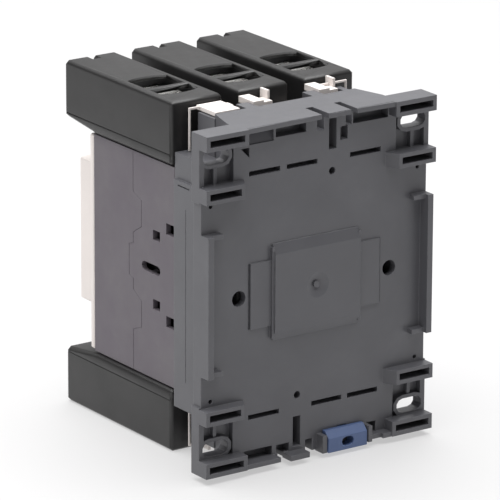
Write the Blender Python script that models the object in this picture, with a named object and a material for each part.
"""A three-pole power contactor for a DIN rail or a mounting plate, modelled in its separate pieces.

Frame: +X to the side, +Y out of the mounting side, +Z up. The origin is the centre of the mounting
plane, so the contactor's front looks along -Y. Sizes below are millimetres; the meshes are metres.
"""
import math

import bmesh
import bpy
from mathutils import Matrix, Vector

MM = 0.001
GAP = 0.3                      # clearance between neighbouring solids

# Driving dimensions
PLATE_X, PLATE_Z = 60.0, 76.0  # half width and half height of the mounting plate
WING_Y = -11.5                 # front of the plate's wings
RECESS_Y = -5.7                # main rear surface of the plate
FLOOR_Y = -9.2                 # inner floor of the rear housing
BODY_X, BODY_Z = 46.5, 50.0    # half width and half height of the contact housings
BOX_Z = 57.0                   # half height of the rear housing's box
BAND_X, BAND_Y = 48.0, -42.6   # the raised band on each of its sides
BAND_END = 45.7                # the short end of that band; its other end is at BOX_Z
SHELF_X = 40.7                 # half width of the shelves above and below the box, at the plate
SHELF_FRONT_X = 36.6           # and at their front
SHELF_Y = -28.3
CHEEK_X, CHEEK_Y = (34.6, 37.4), -39.9  # the walls that carry the shelves' sides on to the inserts
WALL = 2.5
REAR_END = -44.0               # joint between the rear and middle housings
MID_END = -76.4                # joint between the middle and front housings
FRONT_END = -107.5
POLE_PITCH = 34.7
POLES = (POLE_PITCH, 0.0, -POLE_PITCH)
PARTITION_X = POLE_PITCH / 2
CHAMBER_Y = (-65.7, -62.7)     # wall between the magnet and the contacts
BAR_Y = (-69.0, -66.0)         # fixed contact bars
TIP_Y = -70.8                  # contact face of their tips
STROKE = 8.0                   # travel of the contact carrier
CLAMP_Z = 65.0                 # height of the terminal screws
COIL_SCREW_Z = 65.0
SHROUD_X = 13.4
SHROUD_Y = (-129.0, -44.3)
SHROUD_Z = (50.5, 79.0)


# ---------------------------------------------------------------- materials and small tools

def clear_scene():
    for thing in list(bpy.data.objects):
        bpy.data.objects.remove(thing, do_unlink=True)


def finish(name, colour, roughness, metallic=0.0):
    """A Principled material with one colour, roughness and metallic value."""
    made = bpy.data.materials.new(name)
    made.use_nodes = True
    shader = made.node_tree.nodes["Principled BSDF"]
    shader.inputs["Base Color"].default_value = (*colour, 1.0)
    shader.inputs["Roughness"].default_value = roughness
    shader.inputs["Metallic"].default_value = metallic
    made.diffuse_color = (*colour, 1.0)
    return made


def place_mesh(name, mesh, material=None, at=(0, 0, 0), parent=None):
    """An object for the mesh, at a place in millimetres."""
    made = bpy.data.objects.new(name, mesh)
    bpy.context.scene.collection.objects.link(made)
    made.location = Vector(at) * MM
    if parent:
        made.parent = parent
        made.location = (Vector(at) * MM) - parent.location
    if material and not mesh.materials:
        mesh.materials.append(material)
    return made


def axis_empty(name, at):
    """An empty on a joint's axis, which carries the pieces of a moving body."""
    made = bpy.data.objects.new(name, None)
    bpy.context.scene.collection.objects.link(made)
    made.location = Vector(at) * MM
    return made


def prism(outline, axis, low, high):
    """A mesh: the closed outline of (u, v) points, extruded along an axis.

    The outline lies in (y, z) for axis X, in (x, z) for axis Y and in (x, y) for axis Z.
    """
    order = {"X": (2, 0, 1), "Y": (0, 2, 1), "Z": (0, 1, 2)}[axis]
    shape = bmesh.new()
    ends = []
    for depth in (low, high):
        ends.append([shape.verts.new([(u, v, depth)[k] * MM for k in order]) for u, v in outline])
    shape.faces.new(ends[0])
    shape.faces.new(ends[1])
    for k in range(len(outline)):
        n = (k + 1) % len(outline)
        shape.faces.new((ends[0][k], ends[0][n], ends[1][n], ends[1][k]))
    bmesh.ops.recalc_face_normals(shape, faces=shape.faces)
    mesh = bpy.data.meshes.new("prism")
    shape.to_mesh(mesh)
    shape.free()
    return mesh


def rectangle(u, v):
    return [(u[0], v[0]), (u[1], v[0]), (u[1], v[1]), (u[0], v[1])]


def block(x, y, z):
    """A rectangular mesh from (low, high) pairs."""
    return prism(rectangle(x, y), "Z", *z)


def circle(centre, radius, sides=16, turn=0.0):
    return [(centre[0] + radius * math.cos(turn + 2 * math.pi * k / sides),
             centre[1] + radius * math.sin(turn + 2 * math.pi * k / sides)) for k in range(sides)]


def cone(wide, narrow, wide_y, narrow_y, sides=24):
    """A cone's frustum along Y about the origin, from its wide end to its narrow end."""
    shape = bmesh.new()
    bmesh.ops.create_cone(shape, cap_ends=True, segments=sides, radius1=wide * MM, radius2=narrow * MM,
                          depth=abs(narrow_y - wide_y) * MM)
    turn = Matrix.Rotation(math.radians(90), 4, "X")
    bmesh.ops.transform(shape, matrix=Matrix.Translation((0, (wide_y + narrow_y) / 2 * MM, 0)) @ turn,
                        verts=shape.verts)
    mesh = bpy.data.meshes.new("cone")
    shape.to_mesh(mesh)
    shape.free()
    return mesh


def stadium(centre, half, radius, steps=5):
    """A slot's outline along u: two half circles whose centres are 2*half apart."""
    points = []
    for side, start in ((1, -math.pi / 2), (-1, math.pi / 2)):
        for k in range(steps + 1):
            a = start + math.pi * k / steps
            points.append((centre[0] + side * half + radius * math.cos(a),
                           centre[1] + radius * math.sin(a)))
    return points


def mirrored(outline):
    """An outline's points with u turned to -u."""
    return [(-u, v) for u, v in reversed(outline)]


def both(low, high):
    """The (low, high) pair and its mirror image."""
    return ((low, high), (-high, -low))


def combine(target, meshes, operation):
    """One exact Boolean of the target with all of the meshes at once."""
    group = bpy.data.collections.new(f"{target.name}_{operation.lower()}")
    bpy.context.scene.collection.children.link(group)
    for k, mesh in enumerate(meshes):
        tool = bpy.data.objects.new(f"{group.name}_{k}", mesh)
        group.objects.link(tool)
        tool.hide_render = True
        tool.display_type = "WIRE"
        tool.parent = target
    step = target.modifiers.new(operation.title(), "BOOLEAN")
    step.operation = operation
    step.operand_type = "COLLECTION"
    step.collection = group
    step.solver = "EXACT"


def cut(target, meshes):
    combine(target, meshes, "DIFFERENCE")


def add(target, meshes):
    combine(target, meshes, "UNION")


def settle(target):
    """Replace a piece's modifiers by their result, and drop the cutters."""
    view = bpy.context.evaluated_depsgraph_get()
    result = bpy.data.meshes.new_from_object(target.evaluated_get(view))
    groups = [m.collection for m in target.modifiers if m.type == "BOOLEAN"]
    target.modifiers.clear()
    target.data = result
    for group in groups:
        for tool in list(group.objects):
            bpy.data.objects.remove(tool, do_unlink=True)
        bpy.data.collections.remove(group)
    return result


def ease(target, width, angle=40):
    """A one-segment bevel on the sharp edges."""
    step = target.modifiers.new("Eased edges", "BEVEL")
    step.width = width * MM
    step.segments = 1
    step.limit_method = "ANGLE"
    step.angle_limit = math.radians(angle)


def helix(radius, wire, low, high, turns, per_turn=10, sides=5):
    """A coil spring's mesh along +Z: a ring of `sides` points carried along the helix, both ends capped."""
    shape = bmesh.new()
    steps = int(turns * per_turn)
    rise = (high - low - wire) / (2 * math.pi * turns)
    rings = []
    for k in range(steps + 1):
        a = 2 * math.pi * k / per_turn
        out = Vector((math.cos(a), math.sin(a), 0))
        along = Vector((-math.sin(a) * radius, math.cos(a) * radius, rise)).normalized()
        up = out.cross(along)
        middle = out * radius + Vector((0, 0, low + wire / 2 + rise * a))
        rings.append([shape.verts.new((middle + (out * math.cos(b) + up * math.sin(b)) * wire / 2) * MM)
                      for b in (2 * math.pi * s / sides for s in range(sides))])
    for one, two in zip(rings, rings[1:]):
        for s in range(sides):
            n = (s + 1) % sides
            shape.faces.new((one[s], one[n], two[n], two[s]))
    shape.faces.new(rings[0])
    shape.faces.new(rings[-1])
    bmesh.ops.recalc_face_normals(shape, faces=shape.faces)
    mesh = bpy.data.meshes.new("helix")
    shape.to_mesh(mesh)
    shape.free()
    return mesh


def along_y(mesh):
    """Turn a mesh whose length is along +Z so that its length is along -Y."""
    mesh.transform(Matrix.Rotation(math.radians(90), 4, "X"))
    return mesh


# ---------------------------------------------------------------- the housings

CORNER_X = (38.5, PLATE_X)      # outer corner blocks
CORNER_Z = (69.2, PLATE_Z)
INNER_X = (39.0, PLATE_X)       # inner corner blocks
INNER_Z = (46.0, 52.5)
POCKET_X = (42.5, 57.5)         # pockets around the mounting slots
POCKET_Z = (52.5, 69.2)
MOUNT_AT = (51.5, 65.0)         # centre of a mounting slot
MOUNT_HALF, MOUNT_R = 3.5, 3.25
CLIP_X = (-25.2, -4.6)
CLIP_SLOT_X = (-17.5, -12.5)
RETURN_SPRINGS = ((33.0, 21.0), (-33.0, -21.0))


def at_corner(x, z, sx, sz):
    """The x and z ranges of a detail of the upper +X corner, carried to another corner."""
    return (x if sx > 0 else (-x[1], -x[0])), (z if sz > 0 else (-z[1], -z[0]))


def about_centre(x, z):
    """The x and z ranges of a detail and of its copy turned half a turn about the Y axis."""
    return (x, z), ((-x[1], -x[0]), (-z[1], -z[0]))


def corner_blocks():
    """The eight hook blocks on the plate, each with a drafted side towards the recess."""
    meshes = []
    for sx in (1, -1):
        for sz in (1, -1):
            outer = [(CORNER_X[0], 0), (PLATE_X, 0), (PLATE_X, RECESS_Y - 1),
                     (CORNER_X[0], RECESS_Y - 1)]
            inner = [(INNER_X[0] + 1.5, 0), (PLATE_X, 0), (PLATE_X, RECESS_Y - 1),
                     (INNER_X[0] - 2.5, RECESS_Y - 1)]
            for outline, (low, high) in ((outer, CORNER_Z), (inner, INNER_Z)):
                outline = outline if sx > 0 else mirrored(outline)
                span = (low, high) if sz > 0 else (-high, -low)
                meshes.append(prism(outline, "Z", *span))
    return meshes


def edge_ribs():
    """The raised ribs along both side edges, each with a short tab at its ends."""
    meshes = []
    for x in both(56.2, 59.0):
        meshes.append(block(x, (RECESS_Y - 1, 0), (-31.5, 31.5)))
    for x in both(50.0, 59.0):
        for z in both(29.5, 31.5):
            meshes.append(block(x, (RECESS_Y - 1, -2.2), z))
    return meshes


def centre_boss():
    """The raised pad in the middle of the plate: sloped ends, a rib along each side, and a lower wing."""
    slope = [(-21.7, RECESS_Y - 1), (-21.7, -5.2), (-17.3, -3.1), (17.3, -3.1), (21.7, -5.2),
             (21.7, RECESS_Y - 1)]
    pad = prism([(y, z) for z, y in slope], "X", -22.4, 22.4)
    wings = block((-34.7, 34.7), (RECESS_Y - 1, -4.9), (-14.7, 14.7))
    ribs = [block(x, (RECESS_Y - 1, -3.9), (-20.4, 20.4)) for x in both(22.0, 23.4)]
    return [pad, wings] + ribs


LIP_Y, LIP_Z = -0.6, 73.9       # rear face of the lips and their side towards the middle
LIP_BOW = 1.6                   # how far the top lip's middle lies in front of its ends


def lips():
    """The lips along the top and bottom edges, with the guide, the rib and the catch beside the rail clip."""
    back = RECESS_Y - 1
    top = [(-39.0, back), (-39.0, LIP_Y), (0, LIP_Y - LIP_BOW), (39.0, LIP_Y), (39.0, back)]
    return [prism(top, "Z", LIP_Z, PLATE_Z),
            block((20.6, 39.0), (back, LIP_Y), (-PLATE_Z, -LIP_Z)),
            block((-39.0, -34.0), (back, LIP_Y), (-PLATE_Z, -LIP_Z)),
            block((-34.0, CLIP_X[0] - 2.9), (back, -2.4), (-PLATE_Z, -LIP_Z)),
            block((CLIP_X[0] - 2.4, CLIP_X[0] - 0.5), (back, 0), (-PLATE_Z, -68.6)),
            block((CLIP_X[1] + 0.5, -1.8), (back, -1.0), (-76.8, -68.9)),
            block((5.6, 16.4), (back, -0.2), (-76.6, -74.2))]


def lip_pockets():
    """The pockets under the lips, cut around the ribs that hold the lips."""
    meshes = []
    for x, z in (((5.0, 20.8), (68.6, LIP_Z)), ((-38.2, -19.6), (68.3, LIP_Z)),
                 ((21.9, 36.6), (-LIP_Z, -69.6)), ((12.9, 19.6), (-LIP_Z, -70.0)),
                 ((-33.4, -28.2), (-LIP_Z, -69.0))):
        meshes.append(block(x, (-11.0, -1.0), z))
    sloped = [(0, 67.4), (-6.2, 67.4), (-8.9, LIP_Z - 0.05), (0, LIP_Z - 0.05)]
    meshes.append(prism(sloped, "X", 21.9, 37.4))
    meshes.append(prism([(34.4, 61.8), (34.4, 66.2), (38.8, 66.2)], "Y", -10.0, 0))
    meshes.append(block((-16.8, -12.9), (-10.0, 0), (62.0, 68.0)))
    return meshes


def slot_rings():
    """The ring around each mounting slot and the web under it, inside the corner pocket."""
    meshes = []
    for sx in (1, -1):
        for sz in (1, -1):
            centre = (sx * MOUNT_AT[0], sz * MOUNT_AT[1])
            ring = stadium(centre, MOUNT_HALF, MOUNT_R + 1.7)
            meshes.append(prism(ring, "Y", RECESS_Y - 4, RECESS_Y))
            web_z = both(51.0, 61.0)[0 if sz > 0 else 1]
            meshes.append(block((centre[0] - 0.8, centre[0] + 0.8), (RECESS_Y - 4, RECESS_Y - 0.6), web_z))
    return meshes


SLOT_Y = -10.6                  # bottom of the narrow slots in the plate and its corner blocks
SLIT_Z, SLIT_HALF = 54.55, 1.1
UPPER_SLITS = ((18.4, 34.5), (-1.0, 15.0), (-34.5, -18.2))
LOWER_SLITS = ((18.2, 34.5), (-14.8, 1.2), (-34.1, -17.9))
KEY_X, KEY_Z = -8.95, (58.7, 72.3)  # the upright slot above the middle; below it is turned with the plate


def plate_cuts():
    """Everything cut from the rear of the plate after its raised parts are on."""
    meshes = []
    for sx in (1, -1):
        for sz in (1, -1):
            centre = (sx * MOUNT_AT[0], sz * MOUNT_AT[1])
            meshes.append(prism(stadium(centre, MOUNT_HALF, MOUNT_R), "Y", WING_Y - 1, 1))
            for x, z in (((40.4, 58.2), (71.0, 74.0)), ((42.0, 58.2), (47.6, 50.7))):
                x, z = at_corner(x, z, sx, sz)
                meshes.append(block(x, (SLOT_Y, 1), z))
            meshes.append(prism(circle((sx * 54.2, sz * 43.5), 1.0, 8), "Y", RECESS_Y - 2.5, 1))
    for sz, slits in ((1, UPPER_SLITS), (-1, LOWER_SLITS)):
        for x in slits:
            meshes.append(block(x, (SLOT_Y, 1), (sz * SLIT_Z - SLIT_HALF, sz * SLIT_Z + SLIT_HALF)))
        meshes.append(prism(circle((-8.8 * sz, 49.0 * sz), 1.7, 12), "Y", FLOOR_Y - 1, 1))
    for x, z in about_centre((KEY_X - 2.0, KEY_X + 2.0), KEY_Z):
        meshes.append(block(x, (-20.0, 1), z))
    for sx in (1, -1):
        meshes.append(prism(circle((sx * 39.6, 0.0), 3.5, 16), "Y", FLOOR_Y - 1, 1))
        x = (34.0, 34.7) if sx > 0 else (-34.7, -34.0)
        meshes.append(block(x, (RECESS_Y - 0.6, 1), (-14.7, 14.7)))
    for x, z in (((-4.3, -0.6), (68.0, PLATE_Z + 1)), ((-18.9, -15.6), (68.0, PLATE_Z + 1)),
                 ((0.6, 4.3), (-PLATE_Z - 1, -70.4)), ((15.6, 18.9), (-PLATE_Z - 1, -70.4))):
        meshes.append(block(x, (-14.5, 1), z))
    for z in both(PLATE_Z - 0.3, PLATE_Z + 1):
        meshes.append(block((-CORNER_X[0], CORNER_X[0]), (-2.1, -1.7), z))
    meshes.append(block(CLIP_SLOT_X, (WING_Y - 3, 1), (-73.2, -67.3)))
    return meshes


def shelf(z):
    """A shelf's block, narrower towards the front."""
    outline = [(-SHELF_X, WING_Y + 1), (-SHELF_X, -13.4), (-SHELF_FRONT_X, SHELF_Y),
               (SHELF_FRONT_X, SHELF_Y), (SHELF_X, -13.4), (SHELF_X, WING_Y + 1)]
    return prism(outline, "Z", *z)


def side_bands():
    """The raised band on each side of the box; the -X one is the other turned half a turn about Y."""
    bands = about_centre((BODY_X - 1, BAND_X), (-BOX_Z, BAND_END))
    return [block(x, (BAND_Y, WING_Y + 1), z) for x, z in bands]


def band_grooves():
    """A line along each band and the short groove under its end."""
    meshes = []
    for x, z in about_centre((BAND_X - 0.3, BAND_X + 1), (-44.0, 34.0)):
        meshes.append(block(x, (-33.7, -33.3), z))
    for x, z in about_centre((BAND_X - 0.7, BAND_X + 1), (43.2, 43.9)):
        meshes.append(block(x, (-39.6, -30.8), z))
    return meshes


def rear_housing(material):
    """The mounting plate with the magnet's box and both shelves in one moulding."""
    plate = block((-PLATE_X, PLATE_X), (WING_Y, RECESS_Y), (-PLATE_Z, PLATE_Z))
    made = place_mesh("rear_housing", plate, material)
    relief = [block(x, (WING_Y - 1, 1), (-45.4, 45.4)) for x in both(59.0, 61.0)]
    pockets = [block(x, (RECESS_Y - 3.1, 1), z) for x in both(*POCKET_X) for z in both(*POCKET_Z)]
    cut(made, relief + pockets)
    walls = block((-BODY_X, BODY_X), (REAR_END, WING_Y + 1), (-BOX_Z, BOX_Z))
    shelves = [shelf(z) for z in both(BOX_Z - 1, PLATE_Z)]
    prongs = [block((x - 3.0, x + 3.0), (-36.0, SHELF_Y + 1), z)
              for x in (PARTITION_X, -PARTITION_X) for z in both(BOX_Z - 1, PLATE_Z)]
    cheeks = [block(x, (CHEEK_Y, SHELF_Y + 1), z) for x in both(*CHEEK_X) for z in both(BOX_Z - 1, 74.2)]
    add(made, [walls] + side_bands() + shelves + prongs + cheeks + corner_blocks() + edge_ribs()
        + centre_boss() + lips() + slot_rings())
    inner_x, inner_z = BODY_X - WALL, BODY_Z - WALL
    cavity = block((-inner_x, inner_x), (REAR_END - 1, FLOOR_Y), (-inner_z, inner_z))
    shelf_x = SHELF_FRONT_X - WALL
    channels = [block((-shelf_x, shelf_x), (-60, -13.0), z) for z in both(BODY_Z, 54.6)]
    hollows = [block(x, (SHELF_Y - 1, -13.0), z) for z in both(BOX_Z, PLATE_Z - WALL)
               for x in ((-shelf_x, -PARTITION_X - 3.6), (PARTITION_X + 3.6, shelf_x),
                         (-PARTITION_X + 3.6, PARTITION_X - 3.6))]
    clip_room = block((-20.0, -10.0), (-26.0, -13.0), (-PLATE_Z + WALL, -BOX_Z))
    cut(made, [cavity, clip_room] + channels + hollows)
    cut(made, lip_pockets())
    cut(made, plate_cuts() + band_grooves())
    cut(made, [cone(6.6, 1.7, -2.7, -5.0)])
    nub = prism(circle((0, 0), 1.5, 12), "Y", -6.0, -4.0)
    seats = [prism(circle(at, 3.2, 10), "Y", FLOOR_Y - 3.0, FLOOR_Y + 1) for at in RETURN_SPRINGS]
    add(made, [nub] + seats)
    return made


# The joint between the middle and front housings, seen from the side: (y, |z|) from the middle outwards
STEPS = ((-79.6, 7.0), (-76.4, 8.0), (-76.4, 13.0), (-69.9, 17.0), (-69.9, 29.0), (-75.4, 31.0),
         (MID_END, 31.5))


def joint_line(shift):
    """The stepped joint from the bottom face to the top face, moved along y."""
    upper = [(y + shift, z) for y, z in STEPS]
    return [(y, -z) for y, z in reversed(upper)] + upper


def mid_housing(material):
    """The middle moulding: the wall between magnet and contacts, and the rear half of the arc chambers."""
    back = REAR_END - GAP
    line = joint_line(0)
    outline = [(back, -BODY_Z), (MID_END, -BODY_Z)] + line + [(MID_END, BODY_Z), (back, BODY_Z)]
    made = place_mesh("mid_housing", prism(outline, "X", -BODY_X, BODY_X), material)
    inner_x, inner_z = (-BODY_X + WALL, BODY_X - WALL), (-BODY_Z + WALL, BODY_Z - WALL)
    rooms = ((CHAMBER_Y[1], back + 1), (-90, CHAMBER_Y[0]))
    cut(made, [block(inner_x, room, inner_z) for room in rooms])
    add(made, [block((x - 1, x + 1), (MID_END + GAP, CHAMBER_Y[0] + 1), (-BODY_Z + 1, BODY_Z - 1))
               for x in (PARTITION_X, -PARTITION_X)])
    openings = []
    for x in POLES:
        openings.append(block((x - 6.6, x + 6.6), (CHAMBER_Y[0] - 1, CHAMBER_Y[1] + 1), (-10.6, 10.6)))
        for z in both(BODY_Z - WALL - 1, BODY_Z + 1):
            openings.append(block((x - 7.4, x + 7.4), (TIP_Y - 0.6, BAR_Y[1] + 0.6), z))
    for x in both(BODY_X - WALL - 1, BODY_X + 1):
        for z in both(13.5, 18.0):
            openings.append(block(x, (-61.1, -55.6), z))
        for z in both(18.5, 23.5):
            openings.append(block(x, (-50.8, back + 1), z))
    slot = stadium((-62.6, 0), 5.2, 2.1, 4)
    for x in both(BODY_X - 5.5, BODY_X + 1):
        openings.append(prism(slot, "X", *x))
    cut(made, openings)
    return made


def front_housing(material):
    """The front moulding over the contacts: the front half of the arc chambers."""
    line = joint_line(-GAP)
    back = MID_END - GAP
    outline = [(FRONT_END, -BODY_Z), (back, -BODY_Z)] + line + [(back, BODY_Z), (FRONT_END, BODY_Z)]
    made = place_mesh("front_housing", prism(outline, "X", -BODY_X, BODY_X), material)
    inner = block((-BODY_X + WALL, BODY_X - WALL), (FRONT_END + WALL, -60), (-BODY_Z + WALL, BODY_Z - WALL))
    cut(made, [inner])
    add(made, [block((x - 1, x + 1), (FRONT_END + 1, back), (-BODY_Z + 1, BODY_Z - 1))
               for x in (PARTITION_X, -PARTITION_X)])
    cut(made, [block((-6.6, 6.6), (FRONT_END - 1, FRONT_END + WALL + 1), (-10.6, 10.6))])
    return made


RAISED_X, RAISED_Z, RAISED_Y = 39.0, 33.0, -131.0  # the front cover's raised block


def front_cover(material):
    """The light cover: a flange over the whole front and a raised block with the carrier's window.

    The raised block has two upright guides for accessories, a blank recess and latch slots at both ends.
    """
    back = FRONT_END - GAP
    flange = block((-BODY_X, BODY_X), (-111.2, back), (-BODY_Z + 0.4, BODY_Z - 0.4))
    made = place_mesh("front_cover", flange, material)
    add(made, [block((-RAISED_X, RAISED_X), (RAISED_Y, -110), (-RAISED_Z, RAISED_Z))])
    ease(made, 0.8)
    details = [block((-36.8, 36.8), (-128.8, back + 1), (-30.8, 30.8)),
               block((-6.2, 6.2), (RAISED_Y - 1, -128), (-9.2, 9.2)),
               block((-20.0, 20.0), (RAISED_Y - 1, RAISED_Y + 0.6), (-27.0, -17.5))]
    for x in both(25.5, 29.0):
        details.append(block(x, (RAISED_Y - 1, RAISED_Y + 1.3), (-24.0, 24.0)))
        details.append(block(x, (RAISED_Y - 1, RAISED_Y + 3.0), (13.0, 19.0)))
    for z in both(RAISED_Z - 1.0, RAISED_Z + 1.0):
        for x in both(10.0, 18.0):
            details.append(block(x, (-122.0, -118.5), z))
    for x in (42.6, -42.6):
        for z in (41.0, -41.0):
            details.append(prism(circle((x, z), 2.6, 12), "Y", -112.2, -109.4))
    cut(made, details)
    return made


SUPPORT_Y = (-41.6, -39.4)


def terminal_support(name, side, material):
    """A light insert between a shelf and the terminal shrouds: a plate with thin cheeks, tabs and posts."""
    made = place_mesh(name, block((-28.0, 28.0), SUPPORT_Y, (58.0, 70.0)), material)
    pieces = [block(x, (-41.4, -40.6), (57.3, 76.4)) for x in both(40.7, 41.4)]
    pieces += [block(x, (-41.4, -40.6), (75.5, 76.4)) for x in both(24.5, 41.0)]
    pieces += [block(x, SUPPORT_Y, (69.0, 76.4)) for x in both(24.0, 27.5)]
    pieces.append(block((23.4, 36.0), (-43.4, SHELF_Y - GAP), (74.6, 76.4)))
    pieces.append(block((21.4, 23.9), (-41.0, -36.6), (73.6, 75.8)))
    for x in (0.0, -POLE_PITCH):
        pieces.append(block((x + 9.6, x + 13.0), SUPPORT_Y, (69.0, 76.0)))
        pieces.append(block((x + 8.6, x + 14.0), (-43.4, -32.0), (74.2, 77.0)))
        pieces.append(block((x + 2.4, x + 9.0), (-41.4, -34.5), (73.6, 75.2)))
        pieces.append(block((x + 1.6, x + 2.8), (-43.4, -37.8), (73.6, 79.0)))
    add(made, pieces)
    holes = [circle((x, COIL_SCREW_Z), 2.1, 10) for x in (PARTITION_X, -PARTITION_X)]
    cut(made, [prism(hole, "Y", -42, -39) for hole in holes])
    if side < 0:
        made.rotation_euler = (0, math.pi, 0)
    return made


# ---------------------------------------------------------------- the magnet

LEG_Z = 14.0                    # half height of the lamination stacks
CORE_Y = (-34.0, -10.9)
YOKE_Y = -18.6
LEGS_X = ((-8.0, 8.0), (27.0, 37.0), (-37.0, -27.0))
ARMATURE_Y = (-58.1, -42.3)
ARMATURE_YOKE = -50.0
PIN_Y = -54.0


def fixed_core(material):
    """The fixed E-shaped core; its outer poles are grooved for the shading rings."""
    back, front = CORE_Y[1], CORE_Y[0]
    half = [(8, front), (8, YOKE_Y), (27, YOKE_Y), (27, front), (37, front), (37, back)]
    outline = mirrored(half) + half
    made = place_mesh("fixed_core", prism(outline, "Z", -LEG_Z, LEG_Z), material)
    grooves = []
    for x in (28.0, -36.0):
        for z in both(10.2, 12.0):
            grooves.append(block((x, x + 8.0), (CORE_Y[0] - 1, -32.1), z))
        for u in (x, x + 6.2):
            grooves.append(block((u, u + 1.8), (CORE_Y[0] - 1, -32.1), (-11, 11)))
    cut(made, grooves)
    return made


def shading_ring(name, x, material):
    """A closed copper loop lying in the groove of one outer pole."""
    made = place_mesh(name, block((-3.7, 3.7), (-33.7, -32.4), (-11.7, 11.7)), material, (x, 0, 0))
    cut(made, [block((-2.5, 2.5), (-35, -31), (-10.5, 10.5))])
    return made


def coil_bobbin(material):
    """The coil's former: a square tube between two flanges."""
    made = place_mesh("coil_bobbin", block((-24, 24), (-41.5, -19.0), (-26, 26)), material)
    waist = [block(x, (-39.5, -21.0), (-27, 27)) for x in both(10.3, 25)]
    waist += [block((-25, 25), (-39.5, -21.0), z) for z in both(16.3, 27)]
    cut(made, waist + [block((-8.6, 8.6), (-42, -18), (-14.6, 14.6))])
    return made


def coil_winding(material):
    """The winding, one closed ring with rounded corners around the bobbin's tube."""
    made = place_mesh("coil_winding", block((-22.5, 22.5), (-39.2, -21.3), (-24.5, 24.5)), material)
    step = made.modifiers.new("Rounded corners", "BEVEL")
    step.width = 4.0 * MM
    step.segments = 2
    step.limit_method = "ANGLE"
    step.angle_limit = math.radians(40)
    cut(made, [block((-10.6, 10.6), (-42, -18), (-16.6, 16.6))])
    return made


def armature(material, parent):
    """The moving E-shaped core, with the hole for its pin."""
    low, high = ARMATURE_Y
    half = [(38, low), (38, high), (27, high), (27, ARMATURE_YOKE), (8, ARMATURE_YOKE), (8, high)]
    outline = half + mirrored(half)
    made = place_mesh("armature", prism(outline, "Z", -LEG_Z, LEG_Z), material)
    cut(made, [prism(circle((0, PIN_Y), 1.9, 12), "Z", -LEG_Z - 1, LEG_Z + 1)])
    hold(made, parent)
    return made


def hold(made, parent):
    """Parent a piece that is modelled in place to its body's empty."""
    made.parent = parent
    made.matrix_parent_inverse = Matrix.Translation(-parent.location)


# ---------------------------------------------------------------- the moving contacts

PLATE_Y = (-62.4, -58.4)        # the carrier's plate
TOWER_END = -100.0
WINDOW_Y = (-96.0, -76.7)       # the window in each tower that holds bridge and spring
BRIDGE_Y = (-79.0, -77.0)


def contact_carrier(material, parent):
    """The carrier: a plate on the armature, a windowed tower for each pole, and the nose in the front."""
    made = place_mesh("contact_carrier", block((-41, 41), PLATE_Y, (-24, 24)), material)
    pieces = []
    for x in POLES:
        pieces.append(block((x - 6, x + 6), (TOWER_END, PLATE_Y[1] - 1), (-10, 10)))
    pieces.append(block((-5, 5), (-118.0, TOWER_END + 1), (-8, 8)))
    for z in both(15.0, 19.0):
        pieces.append(block((-5, 5), (PLATE_Y[1] - 1, -50.5), z))
    for at in RETURN_SPRINGS:
        pieces.append(prism(circle(at, 3.2, 10), "Y", PLATE_Y[1] - 1, PLATE_Y[1] + 3.0))
    add(made, pieces)
    holes = [block((x - 4.7, x + 4.7), WINDOW_Y, (-11, 11)) for x in POLES]
    holes.append(prism(circle((0, PIN_Y), 1.9, 12), "Z", -20, 20))
    cut(made, holes)
    hold(made, parent)
    return made


def armature_pin(material, parent):
    """The pin that hangs the armature in the carrier's two lugs."""
    made = place_mesh("armature_pin", prism(circle((0, PIN_Y), 1.6, 12), "Z", -19.5, 19.5), material)
    hold(made, parent)
    return made


def bridge_mesh(material):
    """A contact bridge about its own centre: a bar with a silver tip at each end."""
    shape = block((-4.4, 4.4), BRIDGE_Y, (-24, 24))
    made = place_mesh("bridge_shape", shape, material)
    add(made, [block((-4.2, 4.2), (BRIDGE_Y[1] - 0.5, BRIDGE_Y[1] + 1.0), z) for z in both(16, 23.5)])
    mesh = settle(made)
    bpy.data.objects.remove(made, do_unlink=True)
    mesh.transform(Matrix.Translation((0, -BRIDGE_Y[0] * MM, 0)))
    return mesh


def contacts(materials, carrier_axis):
    """Bridge and contact spring of each pole, on an empty that slides in the carrier."""
    mesh = bridge_mesh(materials["copper"])
    spring = along_y(helix(3.2, 0.9, 0.3, BRIDGE_Y[0] - WINDOW_Y[0] - 0.3, 4))
    for number, x in enumerate(POLES, 1):
        axis = axis_empty(f"bridge_axis_{number}", (x, BRIDGE_Y[0], 0))
        axis.parent = carrier_axis
        axis.location = axis.location - carrier_axis.location
        for name, shape, finish_name in ((f"contact_bridge_{number}", mesh, "copper"),
                                         (f"contact_spring_{number}", spring, "spring_steel")):
            piece = place_mesh(name, shape, materials[finish_name])
            piece.parent = axis


def return_springs(material):
    """The two springs between the rear housing's floor and the carrier."""
    mesh = along_y(helix(4.5, 1.1, 0.0, FLOOR_Y - PLATE_Y[1] - 2 * GAP, 8))
    for number, (x, z) in enumerate(RETURN_SPRINGS, 1):
        place_mesh(f"return_spring_{number}", mesh, material, (x, FLOOR_Y - GAP, z))


# ---------------------------------------------------------------- the terminals

SEAM_Z, SEAM_DEEP = 55.5, 0.4   # the parting groove around a shroud


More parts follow.
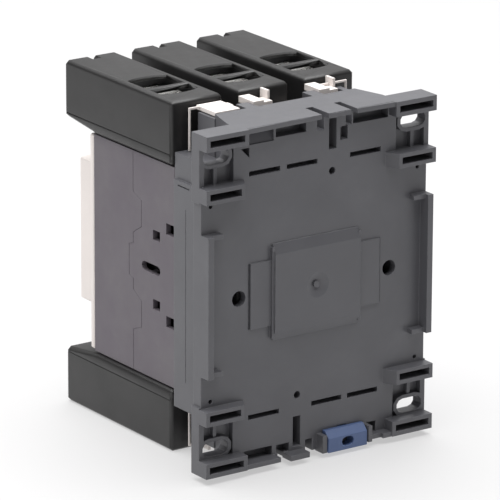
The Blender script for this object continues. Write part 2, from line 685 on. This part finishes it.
def shroud_mesh(material):
    """A shroud about its pole's middle plane, for the upper terminals.

    A box with a rising front underside, a window with two arched ends and a cross bar in its top, a notch
    in its front edge, a hole for the screwdriver, a parting groove all around and a slot for the contact bar
    in its underside.
    """
    (front, back), (low, high) = SHROUD_Y, SHROUD_Z
    side = [(back, low), (back, high), (front, high), (front, low + 3.0), (front + 25.0, low)]
    made = place_mesh("shroud_shape", prism(side, "X", -SHROUD_X, SHROUD_X), material)
    ease(made, 1.6, 60)
    inner = [(back - 2.2, low + 2), (back - 2.2, high - 2), (front + 2, high - 2), (front + 2, low + 4.9),
             (front + 25.3, low + 2)]
    wall_x = SHROUD_X - 2.0
    arch = [(10.0 * math.sin(a), 3.0 * math.cos(a) - 3.0)
            for a in (math.radians(-90 + 20 * k) for k in range(10))]
    windows = []
    for straight, ends, turn in ((-69.0, -86.0, 1), (-66.0, -56.0, -1)):
        outline = [(-10.0, straight), (10.0, straight)] + [(u, ends - turn * v) for u, v in reversed(arch)]
        windows.append(prism(outline, "Z", high - 3, high + 1))
    cut(made, [prism(inner, "X", -wall_x, wall_x)])
    cut(made, windows + [
        block((-2.25, 2.25), (front - 1, front + 6.3), (high - 5, high + 1)),
        block((-7.4, 7.4), (TIP_Y - 0.6, BAR_Y[1] + 0.6), (low - 1, low + 3)),
        prism(circle((0, CLAMP_Z), 6.0, 20), "Y", front - 1, front + 3)])
    groove = (SEAM_Z - 0.2, SEAM_Z + 0.2)
    outside = SHROUD_X + 1
    cut(made, [block(x, (front - 1, back + 1), groove) for x in both(SHROUD_X - SEAM_DEEP, outside)]
        + [block((-outside, outside), (front - 1, front + SEAM_DEEP), groove)])
    mesh = settle(made)
    bpy.data.objects.remove(made, do_unlink=True)
    return mesh


def cage_mesh(material):
    """A clamp's steel cage: a square tube along Z with a threaded boss on its front wall."""
    made = place_mesh("cage_shape", block((-9.5, 9.5), (-88, -54), (56, 74)), material)
    add(made, [prism(circle((0, CLAMP_Z), 8.0, 16), "Y", -93, -87)])
    cut(made, [block((-7, 7), (-85.5, -56.5), (55, 75)), prism(circle((0, CLAMP_Z), 5.3, 16), "Y", -94, -84)])
    mesh = settle(made)
    bpy.data.objects.remove(made, do_unlink=True)
    return mesh


def bar_mesh(material):
    """A fixed contact: a bar from the arc chamber out into the clamp, with a silver tip at its inner end."""
    made = place_mesh("bar_shape", block((-6.7, 6.7), BAR_Y, (14, 76)), material)
    add(made, [block((-4.2, 4.2), (TIP_Y, BAR_Y[0] + 0.5), (16, 23.5))])
    mesh = settle(made)
    bpy.data.objects.remove(made, do_unlink=True)
    return mesh


def screw_mesh(material):
    """A clamp screw about its own axis, with a hexagonal socket in its front end."""
    made = place_mesh("screw_shape", prism(circle((0, 0), 5.0, 16), "Y", -112, -85.5), material)
    cut(made, [prism(circle((0, 0), 3.4, 6), "Y", -113, -106)])
    mesh = settle(made)
    bpy.data.objects.remove(made, do_unlink=True)
    return mesh


def terminals(materials):
    """The six terminals. The lower ones are the upper ones turned half a turn about Y."""
    shapes = {
        "shroud": (shroud_mesh(materials["black_plastic"]), "black_plastic"),
        "cage": (cage_mesh(materials["zinc_steel"]), "zinc_steel"),
        "contact_bar": (bar_mesh(materials["tinned_copper"]), "tinned_copper"),
        "clamp_screw": (screw_mesh(materials["screw_steel"]), "screw_steel"),
        "clamp_pad": (block((-6.5, 6.5), (-85.2, -82.7), (-8, 8)), "zinc_steel"),
    }
    for side, turn, sign in (("line", 0.0, 1), ("load", math.pi, -1)):
        for number, x in enumerate(POLES, 1):
            for kind, (mesh, finish_name) in shapes.items():
                on_axis = kind in ("clamp_screw", "clamp_pad")
                at = (x, 0, sign * CLAMP_Z if on_axis else 0)
                piece = place_mesh(f"{side}_{kind}_{number}", mesh, materials[finish_name], at)
                piece.rotation_euler = (0, turn, 0)


def coil_terminals(materials):
    """The two coil terminals in the upper insert: a small screw and the plate that it presses on the wire."""
    head = prism(circle((0, 0), 3.3, 12), "Y", -46.0, -43.9)
    screw = place_mesh("screw_shape", head, materials["screw_steel"])
    add(screw, [prism(circle((0, 0), 1.7, 10), "Y", -45.0, -37.0)])
    cut(screw, [block((-0.5, 0.5), (-47, -44.8), (-4, 4))])
    screw_shape = settle(screw)
    bpy.data.objects.remove(screw, do_unlink=True)
    plate = block((-3.6, 3.6), (-43.6, -42.4), (-3.6, 3.6))
    clamp = place_mesh("clamp_shape", plate, materials["zinc_steel"])
    cut(clamp, [prism(circle((0, 0), 2.0, 10), "Y", -45, -41)])
    clamp_shape = settle(clamp)
    bpy.data.objects.remove(clamp, do_unlink=True)
    for number, x in enumerate((PARTITION_X, -PARTITION_X), 1):
        at = (x, 0, COIL_SCREW_Z)
        place_mesh(f"coil_screw_{number}", screw_shape, materials["screw_steel"], at)
        place_mesh(f"coil_clamp_{number}", clamp_shape, materials["zinc_steel"], at)


# ---------------------------------------------------------------- the rail clip

def rail_clip(materials):
    """The sliding rail clip with its hidden tail, and the spring that pushes it up."""
    middle = (CLIP_X[0] + CLIP_X[1]) / 2
    axis = axis_empty("rail_clip_axis", (middle, -3.0, -72.0))
    side = [(-5.4, -67.6), (-5.4, -77.0), (-0.5, -77.0), (-0.5, -70.6), (-3.4, -67.6)]
    made = place_mesh("rail_clip", prism(side, "X", *CLIP_X), materials["blue_plastic"])
    tail_x = (CLIP_SLOT_X[0] + 0.5, CLIP_SLOT_X[1] - 0.5)
    add(made, [block(tail_x, (-17.0, -5.0), (-69.4, -67.8)), block(tail_x, (-17.0, -14.8), (-69.4, -58.4)),
               block((middle - 3.2, middle + 3.2), (-24.0, -14.8), (-60.0, -58.4))])
    cut(made, [prism(stadium((middle, -73.2), 1.2, 2.0, 4), "Y", -6, 0)])
    hold(made, axis)
    spring = helix(2.3, 0.7, 0.0, 12.6, 5)
    place_mesh("rail_clip_spring", spring, materials["spring_steel"], (middle, -20.6, -73.2))


def main():
    clear_scene()
    looks = {
        "rear_plastic": ((0.10, 0.10, 0.11), 0.5, 0.0),
        "housing_plastic": ((0.18, 0.16, 0.175), 0.5, 0.0),
        "cover_plastic": ((0.84, 0.78, 0.75), 0.5, 0.0),
        "black_plastic": ((0.055, 0.054, 0.054), 0.45, 0.0),
        "blue_plastic": ((0.09, 0.14, 0.36), 0.4, 0.0),
        "carrier_plastic": ((0.03, 0.03, 0.035), 0.5, 0.0),
        "core_steel": ((0.35, 0.35, 0.36), 0.45, 1.0),
        "zinc_steel": ((0.70, 0.70, 0.68), 0.35, 1.0),
        "screw_steel": ((0.45, 0.45, 0.46), 0.35, 1.0),
        "spring_steel": ((0.55, 0.55, 0.56), 0.3, 1.0),
        "copper": ((0.72, 0.40, 0.26), 0.35, 1.0),
        "tinned_copper": ((0.78, 0.77, 0.74), 0.3, 1.0),
        "winding_wrap": ((0.45, 0.16, 0.06), 0.5, 0.0),
        "rubber": ((0.02, 0.02, 0.02), 0.8, 0.0),
    }
    materials = {name: finish(name, *values) for name, values in looks.items()}
    rear_housing(materials["rear_plastic"])
    mid_housing(materials["housing_plastic"])
    front_housing(materials["housing_plastic"])
    front_cover(materials["cover_plastic"])
    terminal_support("line_terminal_support", 1, materials["cover_plastic"])
    terminal_support("load_terminal_support", -1, materials["cover_plastic"])
    cushion = block((-30, 30), (CORE_Y[1] + GAP, FLOOR_Y - GAP), (-13, 13))
    place_mesh("core_cushion", cushion, materials["rubber"])
    fixed_core(materials["core_steel"])
    shading_ring("shading_ring_1", 32.0, materials["copper"])
    shading_ring("shading_ring_2", -32.0, materials["copper"])
    coil_bobbin(materials["carrier_plastic"])
    coil_winding(materials["winding_wrap"])
    carrier_axis = axis_empty("carrier_axis", (0, PLATE_Y[1], 0))
    contact_carrier(materials["carrier_plastic"], carrier_axis)
    armature(materials["core_steel"], carrier_axis)
    armature_pin(materials["screw_steel"], carrier_axis)
    contacts(materials, carrier_axis)
    return_springs(materials["spring_steel"])
    terminals(materials)
    coil_terminals(materials)
    rail_clip(materials)


main()
